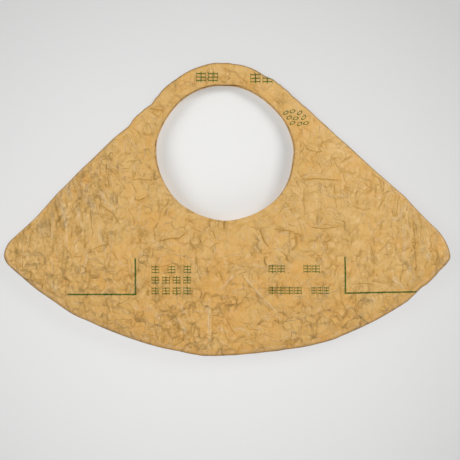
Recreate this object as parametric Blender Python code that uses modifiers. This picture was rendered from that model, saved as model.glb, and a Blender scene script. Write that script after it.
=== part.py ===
# A fan-shaped paper bag: two like panels, each with its own ring handle, sewn round the sides and the bottom.
# Metres, +Z up, the front towards -Y. The origin is where the bag hangs: the top of the handle hole's edge.

import math

import bpy
import numpy as np

HOLE_RADIUS = 0.0852  # handle hole
RING_WIDTH = 0.0242  # strip of paper round the hole, at its sides
RING_RISE = 0.0020  # how far the ring's outer circle lies above the hole's centre
DROP = 0.3392  # from where it hangs down to the lowest edge
FAN_RADIUS = 0.3926  # bottom arc
FAN_SHIFT = 0.0068  # bottom arc's centre, to the right of the hole's centre
MOUTH_RIGHT = 34.0  # turn at which the sewn edge ends on the right, in degrees from +X about the hole's centre
MOUTH_LEFT = 150.0  # and on the left
HEM_WIDTH = 0.0080  # turned edge round the hole
WALL = 0.0012  # crumpled paper
HEM_WALL = 0.0022  # where it is turned over
SEAM_GAP = 0.0003  # between the panels along the sewn edge
RING_GAP = 0.0060  # between the two rings on the hook
LIP_GAP = 0.0140  # between the hole's two edges at their lowest, where the bag opens
FRONT_BELLY = 0.0190  # how far each panel bulges from the sewn edge's plane
BACK_BELLY = 0.0130
BELLY_EASE = 0.0420  # distance from the sewn edge in which most of the bulge is reached
FOLD_HEIGHT = 0.0050
FOLD_REACH = 0.0200
CRUMPLE_HEIGHT = 0.0045
WARP = 0.0050  # how far the whole bag bends out of its plane

COLUMNS = 96  # grid of a panel: round the hole, and from the hole's edge outward
ROWS = 12
CRUMPLE_SITES = 90

# slope: fall of the straight side in degrees; tuck: how far the side lies inside the ring's outer circle, as a share
# of the ring's width; tip: radius of the rounded tip, as a share of the bottom arc's radius
SIDES = {
    "left": {"slope": 44.7, "tuck": 0.00, "tip": 0.055},
    "right": {"slope": 42.1, "tuck": 0.06, "tip": 0.100},
}

# Where the outline leaves its lines and arcs. turn and spread in degrees, inward as a share of the ring's width.
DENTS = [
    {"turn": 60, "spread": 6, "inward": 0.15},
    {"turn": 100, "spread": 14, "inward": -0.05},
    {"turn": 147, "spread": 5, "inward": 0.14},
    {"turn": 165, "spread": 7, "inward": 0.12},
    {"turn": 186, "spread": 5, "inward": -0.04},
    {"turn": 263, "spread": 7, "inward": -0.09},
    {"turn": 282, "spread": 9, "inward": 0.08},
    {"turn": 300, "spread": 9, "inward": -0.06},
    {"turn": 327, "spread": 4, "inward": 0.09},
]

# Folds of the panels: straight creases from one point to another. across is a share of the bottom arc's radius,
# down of the drop; height and reach are shares of FOLD_HEIGHT and FOLD_REACH. A height above 0 stands forward.
FOLDS = [
    {"across": (0.59, 0.61), "down": (0.46, 0.75), "height": -0.9, "reach": 0.9},
    {"across": (0.55, 0.56), "down": (0.52, 0.74), "height": 0.6, "reach": 0.8},
    {"across": (0.64, 0.64), "down": (0.56, 0.66), "height": 0.5, "reach": 0.7},
    {"across": (0.51, 0.58), "down": (0.49, 0.43), "height": 0.6, "reach": 0.7},
    {"across": (0.52, 0.53), "down": (0.70, 0.76), "height": -0.5, "reach": 0.6},
    {"across": (-0.50, -0.50), "down": (0.63, 0.81), "height": -0.8, "reach": 0.8},
    {"across": (-0.44, -0.44), "down": (0.58, 0.73), "height": 0.7, "reach": 0.8},
    {"across": (-0.64, -0.64), "down": (0.57, 0.66), "height": 0.6, "reach": 0.7},
    {"across": (-0.54, -0.50), "down": (0.43, 0.57), "height": 0.8, "reach": 0.7},
    {"across": (-0.47, -0.41), "down": (0.34, 0.36), "height": -0.6, "reach": 0.7},
    {"across": (-0.41, -0.41), "down": (0.27, 0.39), "height": 0.8, "reach": 0.8},
    {"across": (-0.41, -0.33), "down": (0.39, 0.56), "height": 0.8, "reach": 0.9},
    {"across": (-0.26, -0.29), "down": (0.19, 0.34), "height": -0.7, "reach": 0.7},
    {"across": (-0.31, -0.21), "down": (0.36, 0.36), "height": 0.6, "reach": 0.7},
    {"across": (-0.36, -0.34), "down": (0.61, 0.66), "height": -0.7, "reach": 0.7},
    {"across": (-0.21, -0.11), "down": (0.58, 0.54), "height": 0.7, "reach": 0.8},
    {"across": (0.04, 0.18), "down": (0.68, 0.87), "height": 1.0, "reach": 1.0},
    {"across": (0.18, 0.26), "down": (0.87, 0.95), "height": 0.6, "reach": 0.8},
    {"across": (-0.05, -0.05), "down": (0.79, 0.98), "height": 0.8, "reach": 0.9},
    {"across": (-0.02, 0.00), "down": (0.68, 0.74), "height": -0.7, "reach": 0.8},
    {"across": (-0.18, -0.14), "down": (0.86, 0.91), "height": -0.7, "reach": 0.8},
    {"across": (0.10, 0.14), "down": (0.52, 0.60), "height": 0.8, "reach": 0.8},
    {"across": (0.14, 0.27), "down": (0.53, 0.55), "height": -0.6, "reach": 0.7},
    {"across": (0.18, 0.20), "down": (0.62, 0.67), "height": 0.7, "reach": 0.7},
    {"across": (0.24, 0.38), "down": (0.37, 0.36), "height": 0.7, "reach": 0.8},
    {"across": (0.26, 0.38), "down": (0.50, 0.52), "height": -0.7, "reach": 0.8},
    {"across": (0.24, 0.32), "down": (0.22, 0.25), "height": 0.6, "reach": 0.7},
    {"across": (0.37, 0.40), "down": (0.82, 0.86), "height": -0.6, "reach": 0.8},
]

RING_OUTER = HOLE_RADIUS + RING_WIDTH
HOLE_CENTRE = np.array([0.0, -HOLE_RADIUS])
RING_CENTRE = HOLE_CENTRE + np.array([0.0, RING_RISE])
FAN_CENTRE = np.array([FAN_SHIFT, FAN_RADIUS - DROP])


def clear_scene():
    for obj in list(bpy.data.objects):
        bpy.data.objects.remove(obj, do_unlink=True)


def arc(centre, radius, start, end, count):
    turns = np.radians(np.linspace(start, end, count))
    return centre + radius * np.stack([np.cos(turns), np.sin(turns)], axis=1)


def side_of(name):
    """The tip circle's centre and radius, and the two points where the side and the bottom arc run into it."""
    row = SIDES[name]
    out = 1.0 if name == "right" else -1.0
    slope = math.radians(row["slope"])
    along = np.array([out * math.cos(slope), -math.sin(slope)])
    normal = np.array([out * math.sin(slope), math.cos(slope)])
    tip = row["tip"] * FAN_RADIUS
    start = RING_CENTRE + (RING_OUTER - row["tuck"] * RING_WIDTH) * normal
    inner = start - tip * normal - FAN_CENTRE
    reach = -inner @ along + math.sqrt((inner @ along) ** 2 - inner @ inner + (FAN_RADIUS - tip) ** 2)
    centre = FAN_CENTRE + inner + reach * along
    outward = (centre - FAN_CENTRE) / np.linalg.norm(centre - FAN_CENTRE)
    return start, centre, tip, normal, outward


def degrees_of(vector):
    return math.degrees(math.atan2(vector[1], vector[0])) % 360.0


def outline_points():
    """The fan's edge, once round from the right side's upper end: ring, left side, left tip, bottom, right tip."""
    left_start, left_tip, left_radius, left_normal, left_out = side_of("left")
    right_start, right_tip, right_radius, right_normal, right_out = side_of("right")
    ring = arc(RING_CENTRE, RING_OUTER, degrees_of(right_normal) + 2, degrees_of(left_normal) - 2, 80)
    left = arc(left_tip, left_radius, degrees_of(left_normal), degrees_of(left_out), 24)
    bottom = arc(FAN_CENTRE, FAN_RADIUS, degrees_of(left_out), degrees_of(right_out), 160)
    right_turn = degrees_of(right_out) - 360.0
    right = arc(right_tip, right_radius, right_turn, degrees_of(right_normal), 24)
    left_side = left_start + np.linspace(0, 1, 40)[:, None] * (left[0] - left_start)
    right_side = right[-1] + np.linspace(0, 1, 40)[:, None] * (right_start - right[-1])
    return np.concatenate([ring, left_side, left, bottom, right, right_side])


def edge_radius(turns):
    """How far the edge lies from the hole's centre in the given directions, in degrees."""
    points = outline_points() - HOLE_CENTRE
    angles = np.degrees(np.arctan2(points[:, 1], points[:, 0])) % 360.0
    order = np.argsort(angles)
    radii = np.interp(turns % 360.0, angles[order], np.hypot(*points[order].T), period=360.0)
    for dent in DENTS:
        away = np.abs((turns - dent["turn"] + 180.0) % 360.0 - 180.0)
        radii = radii - dent["inward"] * RING_WIDTH * np.clip(1 - away / dent["spread"], 0, 1)
    return radii


def smooth(value, low, high):
    share = np.clip((value - low) / (high - low), 0, 1)
    return share * share * (3 - 2 * share)


def column_turns():
    """Turns of the columns, spaced a quarter by turn and the rest by length, so that the tips are fine enough."""
    turns = np.linspace(0, 360, 1441)
    radii = edge_radius(turns)
    x = radii * np.cos(np.radians(turns))
    z = radii * np.sin(np.radians(turns))
    length = np.concatenate([[0], np.cumsum(np.hypot(np.diff(x), np.diff(z)))])
    share = 0.25 * turns / 360.0 + 0.75 * length / length[-1]
    return np.interp(np.arange(COLUMNS) / COLUMNS, share, turns)


def sewn_distance(x, z):
    """Distance of each point from the sewn edge, which runs clockwise from the right notch to the left one."""
    turns = np.linspace(MOUTH_LEFT, 360.0 + MOUTH_RIGHT, 240)
    radii = edge_radius(turns)
    edge_x = HOLE_CENTRE[0] + radii * np.cos(np.radians(turns))
    edge_z = HOLE_CENTRE[1] + radii * np.sin(np.radians(turns))
    return np.sqrt((x[..., None] - edge_x) ** 2 + (z[..., None] - edge_z) ** 2).min(axis=-1)


def fold_wave(x, z):
    """Sum of the folds: each a tent over its line, as high as its height, gone at its reach."""
    wave = np.zeros_like(x)
    for fold in FOLDS:
        x0, x1 = (share * FAN_RADIUS for share in fold["across"])
        z0, z1 = (-share * DROP for share in fold["down"])
        length2 = (x1 - x0) ** 2 + (z1 - z0) ** 2
        along = np.clip(((x - x0) * (x1 - x0) + (z - z0) * (z1 - z0)) / length2, 0, 1)
        away = np.hypot(x - x0 - along * (x1 - x0), z - z0 - along * (z1 - z0))
        reach = fold["reach"] * FOLD_REACH
        wave += fold["height"] * FOLD_HEIGHT * np.clip(1 - away / reach, 0, 1)
    return wave


def facets(x, z, seed):
    """Flat facets that meet in sharp creases: the difference of the squared distances to the nearest of two site sets."""
    points = np.stack([x / FAN_RADIUS, z / FAN_RADIUS], axis=-1)[..., None, :]
    nearest = []
    for part in range(2):
        sites = np.random.RandomState(seed + part).uniform((-0.8, -1.0), (0.8, 0.2), (CRUMPLE_SITES, 2))
        nearest.append(((points - sites) ** 2).sum(axis=-1).min(axis=-1))
    spread = 1.6 * 1.2 / CRUMPLE_SITES
    return (nearest[0] - nearest[1]) / spread


def warp(x, z):
    """Bend that both panels share: the tips come forward and the lower middle goes back a little."""
    return WARP * (0.25 * np.sin(9.0 * x / FAN_RADIUS + 5.0 * z / DROP) - 2.2 * (x / FAN_RADIUS) ** 2)


def panel_grid():
    """In-plane places of a panel's points, from the hole's edge (row 0) to the outer edge (last row)."""
    turns = column_turns()
    outer = edge_radius(turns)
    rows = np.linspace(0, 1, ROWS)[:, None]
    radius = HOLE_RADIUS + HEM_WIDTH + rows * (outer - HOLE_RADIUS - HEM_WIDTH)
    radius = np.vstack([np.full((1, COLUMNS), HOLE_RADIUS), radius])
    x = HOLE_CENTRE[0] + radius * np.cos(np.radians(turns))
    z = HOLE_CENTRE[1] + radius * np.sin(np.radians(turns))
    return turns, x, z


def panel_mesh(name, towards, belly, seed):
    """The panel's inner face, towards -1 at the front and +1 at the back, with the grid's seam closed round the hole."""
    turns, x, z = panel_grid()
    lying = sewn_distance(x, z)
    middle = 0.5 * (MOUTH_LEFT + MOUTH_RIGHT)
    from_top = np.abs((turns - middle + 180.0) % 360.0 - 180.0)
    ring = 1 - smooth(from_top, 0.5 * (MOUTH_LEFT - MOUTH_RIGHT) - 6.0, 0.5 * (MOUTH_LEFT - MOUTH_RIGHT) + 34.0)
    bulge = belly * (1 - np.exp(-lying / BELLY_EASE))
    lip = np.hypot(x - HOLE_CENTRE[0], z - HOLE_CENTRE[1]) - HOLE_RADIUS
    body = smooth(lip, -0.2 * BELLY_EASE, 1.6 * BELLY_EASE)
    open_lip = 0.5 * LIP_GAP * (1 - np.exp(-lying / (0.5 * BELLY_EASE)))
    depth = (1 - ring) * (bulge * body + open_lip * (1 - body)) + ring * 0.5 * (RING_GAP - SEAM_GAP)
    loose = smooth(lying, 0.0, BELLY_EASE) * (1 - 0.7 * ring)
    own = CRUMPLE_HEIGHT * np.clip(facets(x, z, seed), -0.6, 1.4) * loose
    fold = fold_wave(x, z) * (1 - 0.6 * ring)
    lift = fold * loose * (1.0 if towards < 0 else -0.5)
    depth = 0.5 * SEAM_GAP + np.maximum(depth + own + lift, 0.35 * depth)
    y = towards * depth + warp(x, z)
    rows, columns = x.shape
    points = np.stack([x, y, z], axis=-1).reshape(-1, 3)
    index = np.arange(rows * columns).reshape(rows, columns)
    ahead = np.roll(index, -1, axis=1)
    faces = np.stack([index[:-1], index[1:], ahead[1:], ahead[:-1]], axis=-1).reshape(-1, 4)
    if towards > 0:
        faces = faces[:, ::-1]
    mesh = bpy.data.meshes.new(name)
    mesh.from_pydata(points.tolist(), [], faces.tolist())
    mesh.validate()
    return mesh, index


def paper(name, colour):
    material = bpy.data.materials.new(name)
    material.use_nodes = True
    shader = material.node_tree.nodes["Principled BSDF"]
    shader.inputs["Base Color"].default_value = (*colour, 1.0)
    shader.inputs["Roughness"].default_value = 0.8
    shader.inputs["Metallic"].default_value = 0.0
    return material


def make_panel(collection, name, towards, belly, seed, colour):
    """The open inner face, thickened outward: by HEM_WALL over the turned edge, by WALL elsewhere."""
    mesh, index = panel_mesh(name, towards, belly, seed)
    obj = bpy.data.objects.new(name, mesh)
    obj.data.materials.append(paper(name, colour))
    hem = obj.vertex_groups.new(name="hem")
    hem.add(index[:2].reshape(-1).tolist(), 1.0, "REPLACE")
    shell = obj.modifiers.new("wall", "SOLIDIFY")
    shell.thickness = HEM_WALL
    shell.offset = 1.0
    shell.vertex_group = "hem"
    shell.thickness_vertex_group = WALL / HEM_WALL
    collection.objects.link(obj)
    return obj


def main():
    clear_scene()
    collection = bpy.data.collections.new("triangle_bag")
    bpy.context.scene.collection.children.link(collection)
    make_panel(collection, "front_panel", -1.0, FRONT_BELLY, 11, (0.62, 0.39, 0.15))
    make_panel(collection, "back_panel", 1.0, BACK_BELLY, 37, (0.58, 0.37, 0.15))


main()
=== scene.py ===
# A fan-shaped bag of crumpled kraft paper, hanging by its two ring handles in front of a pale wall.
# Metres, +Z up, the front towards -Y. The bag hangs from the origin, at the top of the handle hole's edge.

import math
from functools import partial

import bpy
import numpy as np
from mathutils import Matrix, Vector


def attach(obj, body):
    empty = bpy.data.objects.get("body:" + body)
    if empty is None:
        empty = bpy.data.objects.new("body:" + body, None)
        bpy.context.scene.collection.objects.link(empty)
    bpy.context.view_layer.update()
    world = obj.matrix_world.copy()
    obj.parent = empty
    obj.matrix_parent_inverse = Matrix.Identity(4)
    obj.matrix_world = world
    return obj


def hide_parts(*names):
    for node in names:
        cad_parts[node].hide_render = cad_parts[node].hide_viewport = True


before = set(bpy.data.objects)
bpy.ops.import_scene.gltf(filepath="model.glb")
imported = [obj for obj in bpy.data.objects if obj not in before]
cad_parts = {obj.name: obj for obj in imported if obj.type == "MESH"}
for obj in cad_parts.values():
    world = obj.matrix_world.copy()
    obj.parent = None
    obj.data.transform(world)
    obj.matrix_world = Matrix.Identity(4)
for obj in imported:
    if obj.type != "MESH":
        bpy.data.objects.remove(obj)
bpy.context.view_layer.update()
print("stage: frame loaded")

# the bag's sizes, the same as the solids'
bag = {
    "holeRadius": 0.0852,
    "ringWidth": 0.0242,  # strip of paper round the hole
    "ringRise": 0.0020,  # the ring's outer circle lies this far above the hole's centre
    "drop": 0.3392,  # from where it hangs to the lowest edge
    "fanRadius": 0.3926,  # bottom arc
    "fanShift": 0.0068,
    "mouthRight": 34.0,  # where the sewn edge ends, in degrees about the hole's centre
    "mouthLeft": 150.0,
    "hemWidth": 0.0080,
    "hemStep": 0.0010,  # half the width over which the wall grows to the hem's
    "wall": 0.0012,
    "hemWall": 0.0022,
    "seamGap": 0.0003,
    "ringGap": 0.0060,
    "lipGap": 0.0140,
    "bellyEase": 0.0420,
    "warp": 0.0050,  # the shared bend, its wave's share, turns across and down, and the share of the tips' bend
    "warpWave": 0.25,
    "warpAcross": 9.0,
    "warpDown": 5.0,
    "warpTips": 2.2,
    "sides": {
        "left": {"slope": 44.7, "tuck": 0.00, "tip": 0.055},
        "right": {"slope": 42.1, "tuck": 0.06, "tip": 0.100},
    },
    "dentRound": 0.01,  # roundness of a dent's middle, and how far its foot is widened
    "dentFoot": 0.05,
    "dents": [  # turn, spread in degrees, and how far inward, as a share of the ring's width
        (40, 5, 0.03), (52, 4, 0.07), (63, 13, 0.15), (100, 14, -0.03), (123, 10, 0.05),
        (141, 13, 0.08), (147, 5, 0.12), (154, 6, 0.06), (165, 7, 0.12), (186, 5, -0.04),
        (199.5, 5.5, 0.30), (238, 15, 0.045), (226, 4, -0.04), (264, 7, -0.10), (282, 9, 0.08),
        (300, 9, -0.04), (325.5, 4.5, 0.17), (331, 4, 0.23), (340.4, 5.5, 0.42), (353, 6, 0.06),
    ],
    "holeDents": [  # the same for the hole's edge, in metres outward
        (38, 20, -0.0014), (57, 30, -0.0024), (5, 18, 0.0014), (90, 12, -0.0012),
        (178, 34, 0.0019), (245, 26, -0.0010), (330, 36, 0.0018),
    ],
}

holeCentre = np.array([0.0, -bag["holeRadius"]])
ringCentre = holeCentre + np.array([0.0, bag["ringRise"]])
ringOuter = bag["holeRadius"] + bag["ringWidth"]
fanCentre = np.array([bag["fanShift"], bag["fanRadius"] - bag["drop"]])

outline = {"ring": 160, "side": 120, "tip": 60, "bottom": 400, "sewn": 300}  # numbers of points
ringStop = 2  # degrees by which the ring stops short of the sides


# points on a circle: centre plus radius times (cosine, sine) of evenly spaced turns
def arcPoints(centre, radius, start, end, count):
    turns = np.radians(np.linspace(start, end, count))
    return centre + radius * np.stack([np.cos(turns), np.sin(turns)], axis=1)


# the circle that rounds a tip: it touches the straight side from inside and the bottom arc from inside
def tipOf(name):
    row = bag["sides"][name]
    out = 1.0 if name == "right" else -1.0
    slope = math.radians(row["slope"])
    along = np.array([out * math.cos(slope), -math.sin(slope)])
    normal = np.array([out * math.sin(slope), math.cos(slope)])
    tip = row["tip"] * bag["fanRadius"]
    start = ringCentre + (ringOuter - row["tuck"] * bag["ringWidth"]) * normal
    inner = start - tip * normal - fanCentre
    reach = -inner @ along + math.sqrt((inner @ along) ** 2 - inner @ inner + (bag["fanRadius"] - tip) ** 2)
    centre = fanCentre + inner + reach * along
    outward = (centre - fanCentre) / np.linalg.norm(centre - fanCentre)
    return start, centre, tip, normal, outward


# a vector's turn in degrees from 0 to 360: the arc tangent of up over across
def degreesOf(vector):
    return math.degrees(math.atan2(vector[1], vector[0])) % 360.0


# how far one turn is from another, in degrees from 0 to 180
def turnsApart(first, second):
    return np.abs((first - second + 180.0) % 360.0 - 180.0)


# the fan's edge once round: ring, left side, left tip, bottom arc, right tip, right side
def outlinePoints():
    leftStart, leftTip, leftRadius, leftNormal, leftOut = tipOf("left")
    rightStart, rightTip, rightRadius, rightNormal, rightOut = tipOf("right")
    ringEnds = degreesOf(rightNormal) + ringStop, degreesOf(leftNormal) - ringStop
    ring = arcPoints(ringCentre, ringOuter, *ringEnds, outline["ring"])
    left = arcPoints(leftTip, leftRadius, degreesOf(leftNormal), degreesOf(leftOut), outline["tip"])
    bottom = arcPoints(fanCentre, bag["fanRadius"], degreesOf(leftOut), degreesOf(rightOut), outline["bottom"])
    right = arcPoints(rightTip, rightRadius, degreesOf(rightOut) - 360.0, degreesOf(rightNormal), outline["tip"])
    along = np.linspace(0, 1, outline["side"])[:, None]
    leftSide = leftStart + along * (left[0] - leftStart)
    rightSide = right[-1] + along * (rightStart - right[-1])
    return np.concatenate([ring, leftSide, left, bottom, right, rightSide])


# the edge's distance from the hole's centre by turn: read from the outline, less a rounded tent for each dent
def edgeRadius(turns):
    points = outlinePoints() - holeCentre
    angles = np.degrees(np.arctan2(points[:, 1], points[:, 0])) % 360.0
    order = np.argsort(angles)
    radii = np.interp(turns % 360.0, angles[order], np.hypot(*points[order].T), period=360.0)
    for turn, spread, inward in bag["dents"]:
        away = turnsApart(turns, turn) / spread
        tent = np.clip(1 - np.sqrt(away**2 + bag["dentRound"]) + bag["dentFoot"], 0, 1)
        radii = radii - inward * bag["ringWidth"] * tent
    return radii


# the hole's radius by turn: its circle with a rounded rise for each of its dents
def holeEdge(turns):
    radii = np.full_like(turns, bag["holeRadius"])
    for turn, spread, outward in bag["holeDents"]:
        away = turnsApart(turns, turn) / spread
        radii = radii + outward * (0.5 + 0.5 * np.cos(np.pi * np.clip(away, 0, 1)))
    return radii


# ease from 0 at low to 1 at high, level at both ends
def ease(value, low, high):
    share = np.clip((value - low) / (high - low), 0, 1)
    return share * share * (3 - 2 * share)


lattice = 64  # the noises repeat after this many cells
siteRange = (0.08, 0.92)  # where in its cell a site may lie


# soft noise from -1 to 1: random values on a square lattice, blended with level ends
def softNoise(x, z, cell, seed):
    table = np.random.RandomState(seed).uniform(-1.0, 1.0, (lattice, lattice))
    gx, gz = x / cell, z / cell
    ix, iz = np.floor(gx).astype(int), np.floor(gz).astype(int)
    fx, fz = gx - ix, gz - iz
    fx, fz = fx * fx * (3 - 2 * fx), fz * fz * (3 - 2 * fz)
    left, right = ix % lattice, (ix + 1) % lattice
    bottom, top = iz % lattice, (iz + 1) % lattice
    low = table[left, bottom] * (1 - fx) + table[right, bottom] * fx
    high = table[left, top] * (1 - fx) + table[right, top] * fx
    return low * (1 - fz) + high * fz


# squared distance in cells to the nearest of one jittered site per cell, softened over the borders
def nearestSite(x, z, cell, seed, soft):
    table = np.random.RandomState(seed).uniform(*siteRange, (lattice, lattice, 2))
    gx, gz = x / cell, z / cell
    ix, iz = np.floor(gx).astype(int), np.floor(gz).astype(int)
    total = np.zeros_like(gx)
    for dx in (-1, 0, 1):
        for dz in (-1, 0, 1):
            jitter = table[(ix + dx) % lattice, (iz + dz) % lattice]
            away = (ix + dx + jitter[..., 0] - gx) ** 2 + (iz + dz + jitter[..., 1] - gz) ** 2
            total += np.exp(-away / soft)
    return -soft * np.log(total)


# flat facets with creases between them: the nearest distance to one set of sites less that to another
def facets(x, z, cell, seed, soft):
    return nearestSite(x, z, cell, seed, soft) - nearestSite(x, z, cell, seed + 1, soft)


largeSites = {"count": 90, "low": (-0.8, -1.0), "high": (0.8, 0.2), "soft": 0.05}


# the large facets of the solids: the same difference, from sites given as shares of the bottom arc's radius, each
# distance squared measured in the area that a site has
def largeFacets(x, z, seed):
    points = np.stack([x, z], axis=-1)[..., None, :] / bag["fanRadius"]
    low, high, count, soft = (largeSites[key] for key in ("low", "high", "count", "soft"))
    spread = (high[0] - low[0]) * (high[1] - low[1]) / count
    nearest = []
    for part in range(2):
        sites = np.random.RandomState(seed + part).uniform(low, high, (count, 2))
        away = ((points - sites) ** 2).sum(axis=-1) / spread
        least = away.min(axis=-1, keepdims=True)
        nearest.append(least[..., 0] - soft * np.log(np.exp((least - away) / soft).sum(axis=-1)))
    return nearest[0] - nearest[1]


# distance to the sewn edge, which runs clockwise from the right notch to the left one
def sewnDistance(x, z):
    turns = np.linspace(bag["mouthLeft"], 360.0 + bag["mouthRight"], outline["sewn"])
    radii = edgeRadius(turns)
    ex = holeCentre[0] + radii * np.cos(np.radians(turns))
    ez = holeCentre[1] + radii * np.sin(np.radians(turns))
    best = np.full(x.shape, 1.0)
    for x0, z0, x1, z1 in zip(ex[:-1], ez[:-1], ex[1:], ez[1:]):
        share = ((x - x0) * (x1 - x0) + (z - z0) * (z1 - z0)) / ((x1 - x0) ** 2 + (z1 - z0) ** 2)
        share = np.clip(share, 0, 1)
        best = np.minimum(best, (x - x0 - share * (x1 - x0)) ** 2 + (z - z0 - share * (z1 - z0)) ** 2)
    return np.sqrt(best)


# one row a crease: its height, above 0 a ridge and below 0 a furrow; its width, over which it falls away; and its
# path from the hang point, across and up. All in millimetres.
creases = [
    (-0.85, 2.5, (-198, -215), (-199, -239), (-198, -272)),
    (0.68, 2.2, (-173, -197), (-172, -217), (-177, -232), (-173, -246)),
    (0.59, 1.9, (-253, -195), (-251, -207), (-253, -224)),
    (-0.59, 1.9, (-243, -225), (-243, -244)),
    (-0.94, 2.2, (-212, -147), (-207, -171), (-197, -192)),
    (0.68, 1.9, (-204, -151), (-199, -172), (-197, -195)),
    (-0.68, 1.9, (-191, -152), (-187, -172), (-182, -185)),
    (0.68, 1.7, (-184, -148), (-182, -163), (-178, -180)),
    (-0.77, 1.9, (-162, -93), (-156, -106), (-157, -121)),
    (-0.94, 2.2, (-162, -131), (-154, -152), (-141, -161), (-133, -173), (-130, -188)),
    (0.77, 1.9, (-157, -131), (-149, -148), (-138, -158)),
    (-0.68, 1.9, (-186, -117), (-173, -121), (-162, -121)),
    (-0.77, 1.9, (-138, -83), (-142, -99), (-133, -115)),
    (0.68, 2.2, (-102, -66), (-100, -91), (-113, -102), (-114, -115)),
    (-0.77, 1.9, (-122, -121), (-107, -118), (-84, -121)),
    (-1.02, 2.2, (-116, -142), (-108, -145), (-98, -142)),
    (-0.85, 2.2, (-142, -206), (-133, -222)),
    (0.68, 1.9, (-159, -185), (-152, -198), (-147, -215)),
    (-1.10, 2.2, (-89, -200), (-82, -196), (-67, -193), (-58, -193), (-51, -187), (-43, -181)),
    (-0.77, 1.7, (-90, -182), (-87, -195)),
    (-0.68, 1.7, (-98, -188), (-94, -195)),
    (-0.85, 1.9, (-21, -180), (-15, -185), (-11, -195)),
    (-0.68, 1.7, (-32, -188), (-31, -203)),
    (0.68, 1.9, (-19, -195), (-14, -205), (-11, -210)),
    (-0.94, 1.9, (-9, -231), (-5, -241), (-1, -251)),
    (0.77, 1.9, (-1, -251), (5, -244), (12, -237)),
    (-0.94, 2.2, (17, -232), (30, -253), (41, -264)),
    (1.02, 2.5, (17, -229), (26, -244), (41, -261), (59, -280), (74, -296)),
    (-0.68, 1.9, (26, -177), (37, -180), (46, -190), (56, -205)),
    (-1.19, 2.2, (40, -177), (45, -186), (49, -197), (56, -205)),
    (-0.85, 2.2, (56, -180), (70, -182), (81, -183), (96, -190)),
    (-0.94, 2.2, (69, -207), (76, -215), (78, -225)),
    (0.68, 1.9, (59, -203), (70, -208), (81, -210)),
    (-0.85, 2.5, (100, -171), (109, -179), (122, -181), (135, -179), (150, -176)),
    (-0.77, 2.2, (99, -202), (109, -196), (125, -197), (139, -191)),
    (-0.77, 2.5, (101, -215), (110, -212), (122, -215)),
    (0.77, 2.5, (-21, -267), (-20, -289), (-19, -310), (-20, -334)),
    (-0.68, 2.2, (-16, -270), (-15, -292), (-15, -326)),
    (-0.77, 2.2, (-69, -291), (-63, -301), (-56, -310)),
    (0.68, 2.2, (-61, -290), (-53, -301), (-48, -311)),
    (0.68, 2.2, (-14, -304), (1, -309), (19, -306), (34, -311)),
    (-0.68, 2.2, (-8, -289), (-3, -300), (14, -313)),
    (-0.77, 2.2, (147, -277), (153, -286), (155, -295)),
    (-0.68, 1.9, (134, -260), (139, -275), (144, -284)),
    (-1.10, 2.5, (231, -157), (234, -170), (237, -195), (238, -219), (239, -252)),
    (0.68, 2.2, (223, -172), (224, -195), (223, -224)),
    (0.51, 1.9, (254, -192), (253, -207), (254, -224)),
    (-0.68, 2.2, (206, -131), (199, -143), (193, -155)),
    (0.77, 2.2, (228, -147), (221, -157), (212, -170), (202, -166)),
    (-0.77, 2.2, (191, -231), (183, -239), (175, -245)),
    (-0.68, 1.9, (204, -236), (209, -256)),
    (0.59, 1.9, (209, -237), (217, -249), (224, -257)),
    (-0.77, 2.2, (94, -74), (104, -81), (115, -85), (126, -83)),
    (-0.68, 1.9, (160, -88), (150, -94), (143, -99)),
    (-0.94, 2.2, (94, -124), (104, -119), (117, -118), (134, -119), (150, -121)),
    (0.68, 2.2, (94, -117), (106, -112), (127, -113)),
    (-0.77, 2.2, (100, -123), (98, -145), (100, -167)),
    (0.68, 2.5, (117, -132), (132, -140), (150, -140), (164, -145)),
    (-0.68, 2.2, (157, -151), (172, -157), (184, -156)),
    (-0.59, 2.2, (114, -94), (122, -107), (120, -119)),
    (-1.02, 1.9, (-95, -30), (-85, -32), (-74, -32)),
    (-0.85, 1.9, (-94, -33), (-85, -39), (-80, -44)),
    (0.77, 1.9, (-95, -37), (-85, -46), (-77, -53)),
    (-0.59, 1.9, (-61, 3), (-56, -4), (-51, -9)),
    (-0.68, 2.2, (79, -10), (85, -18), (90, -24)),
    (-0.59, 1.9, (-118, -53), (-110, -58), (-105, -67)),
]


foldReach = 4.5  # how far beside a crease its sharp fold is known, in millimetres
farFold = 9.0  # given as the distance where there is none


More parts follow.
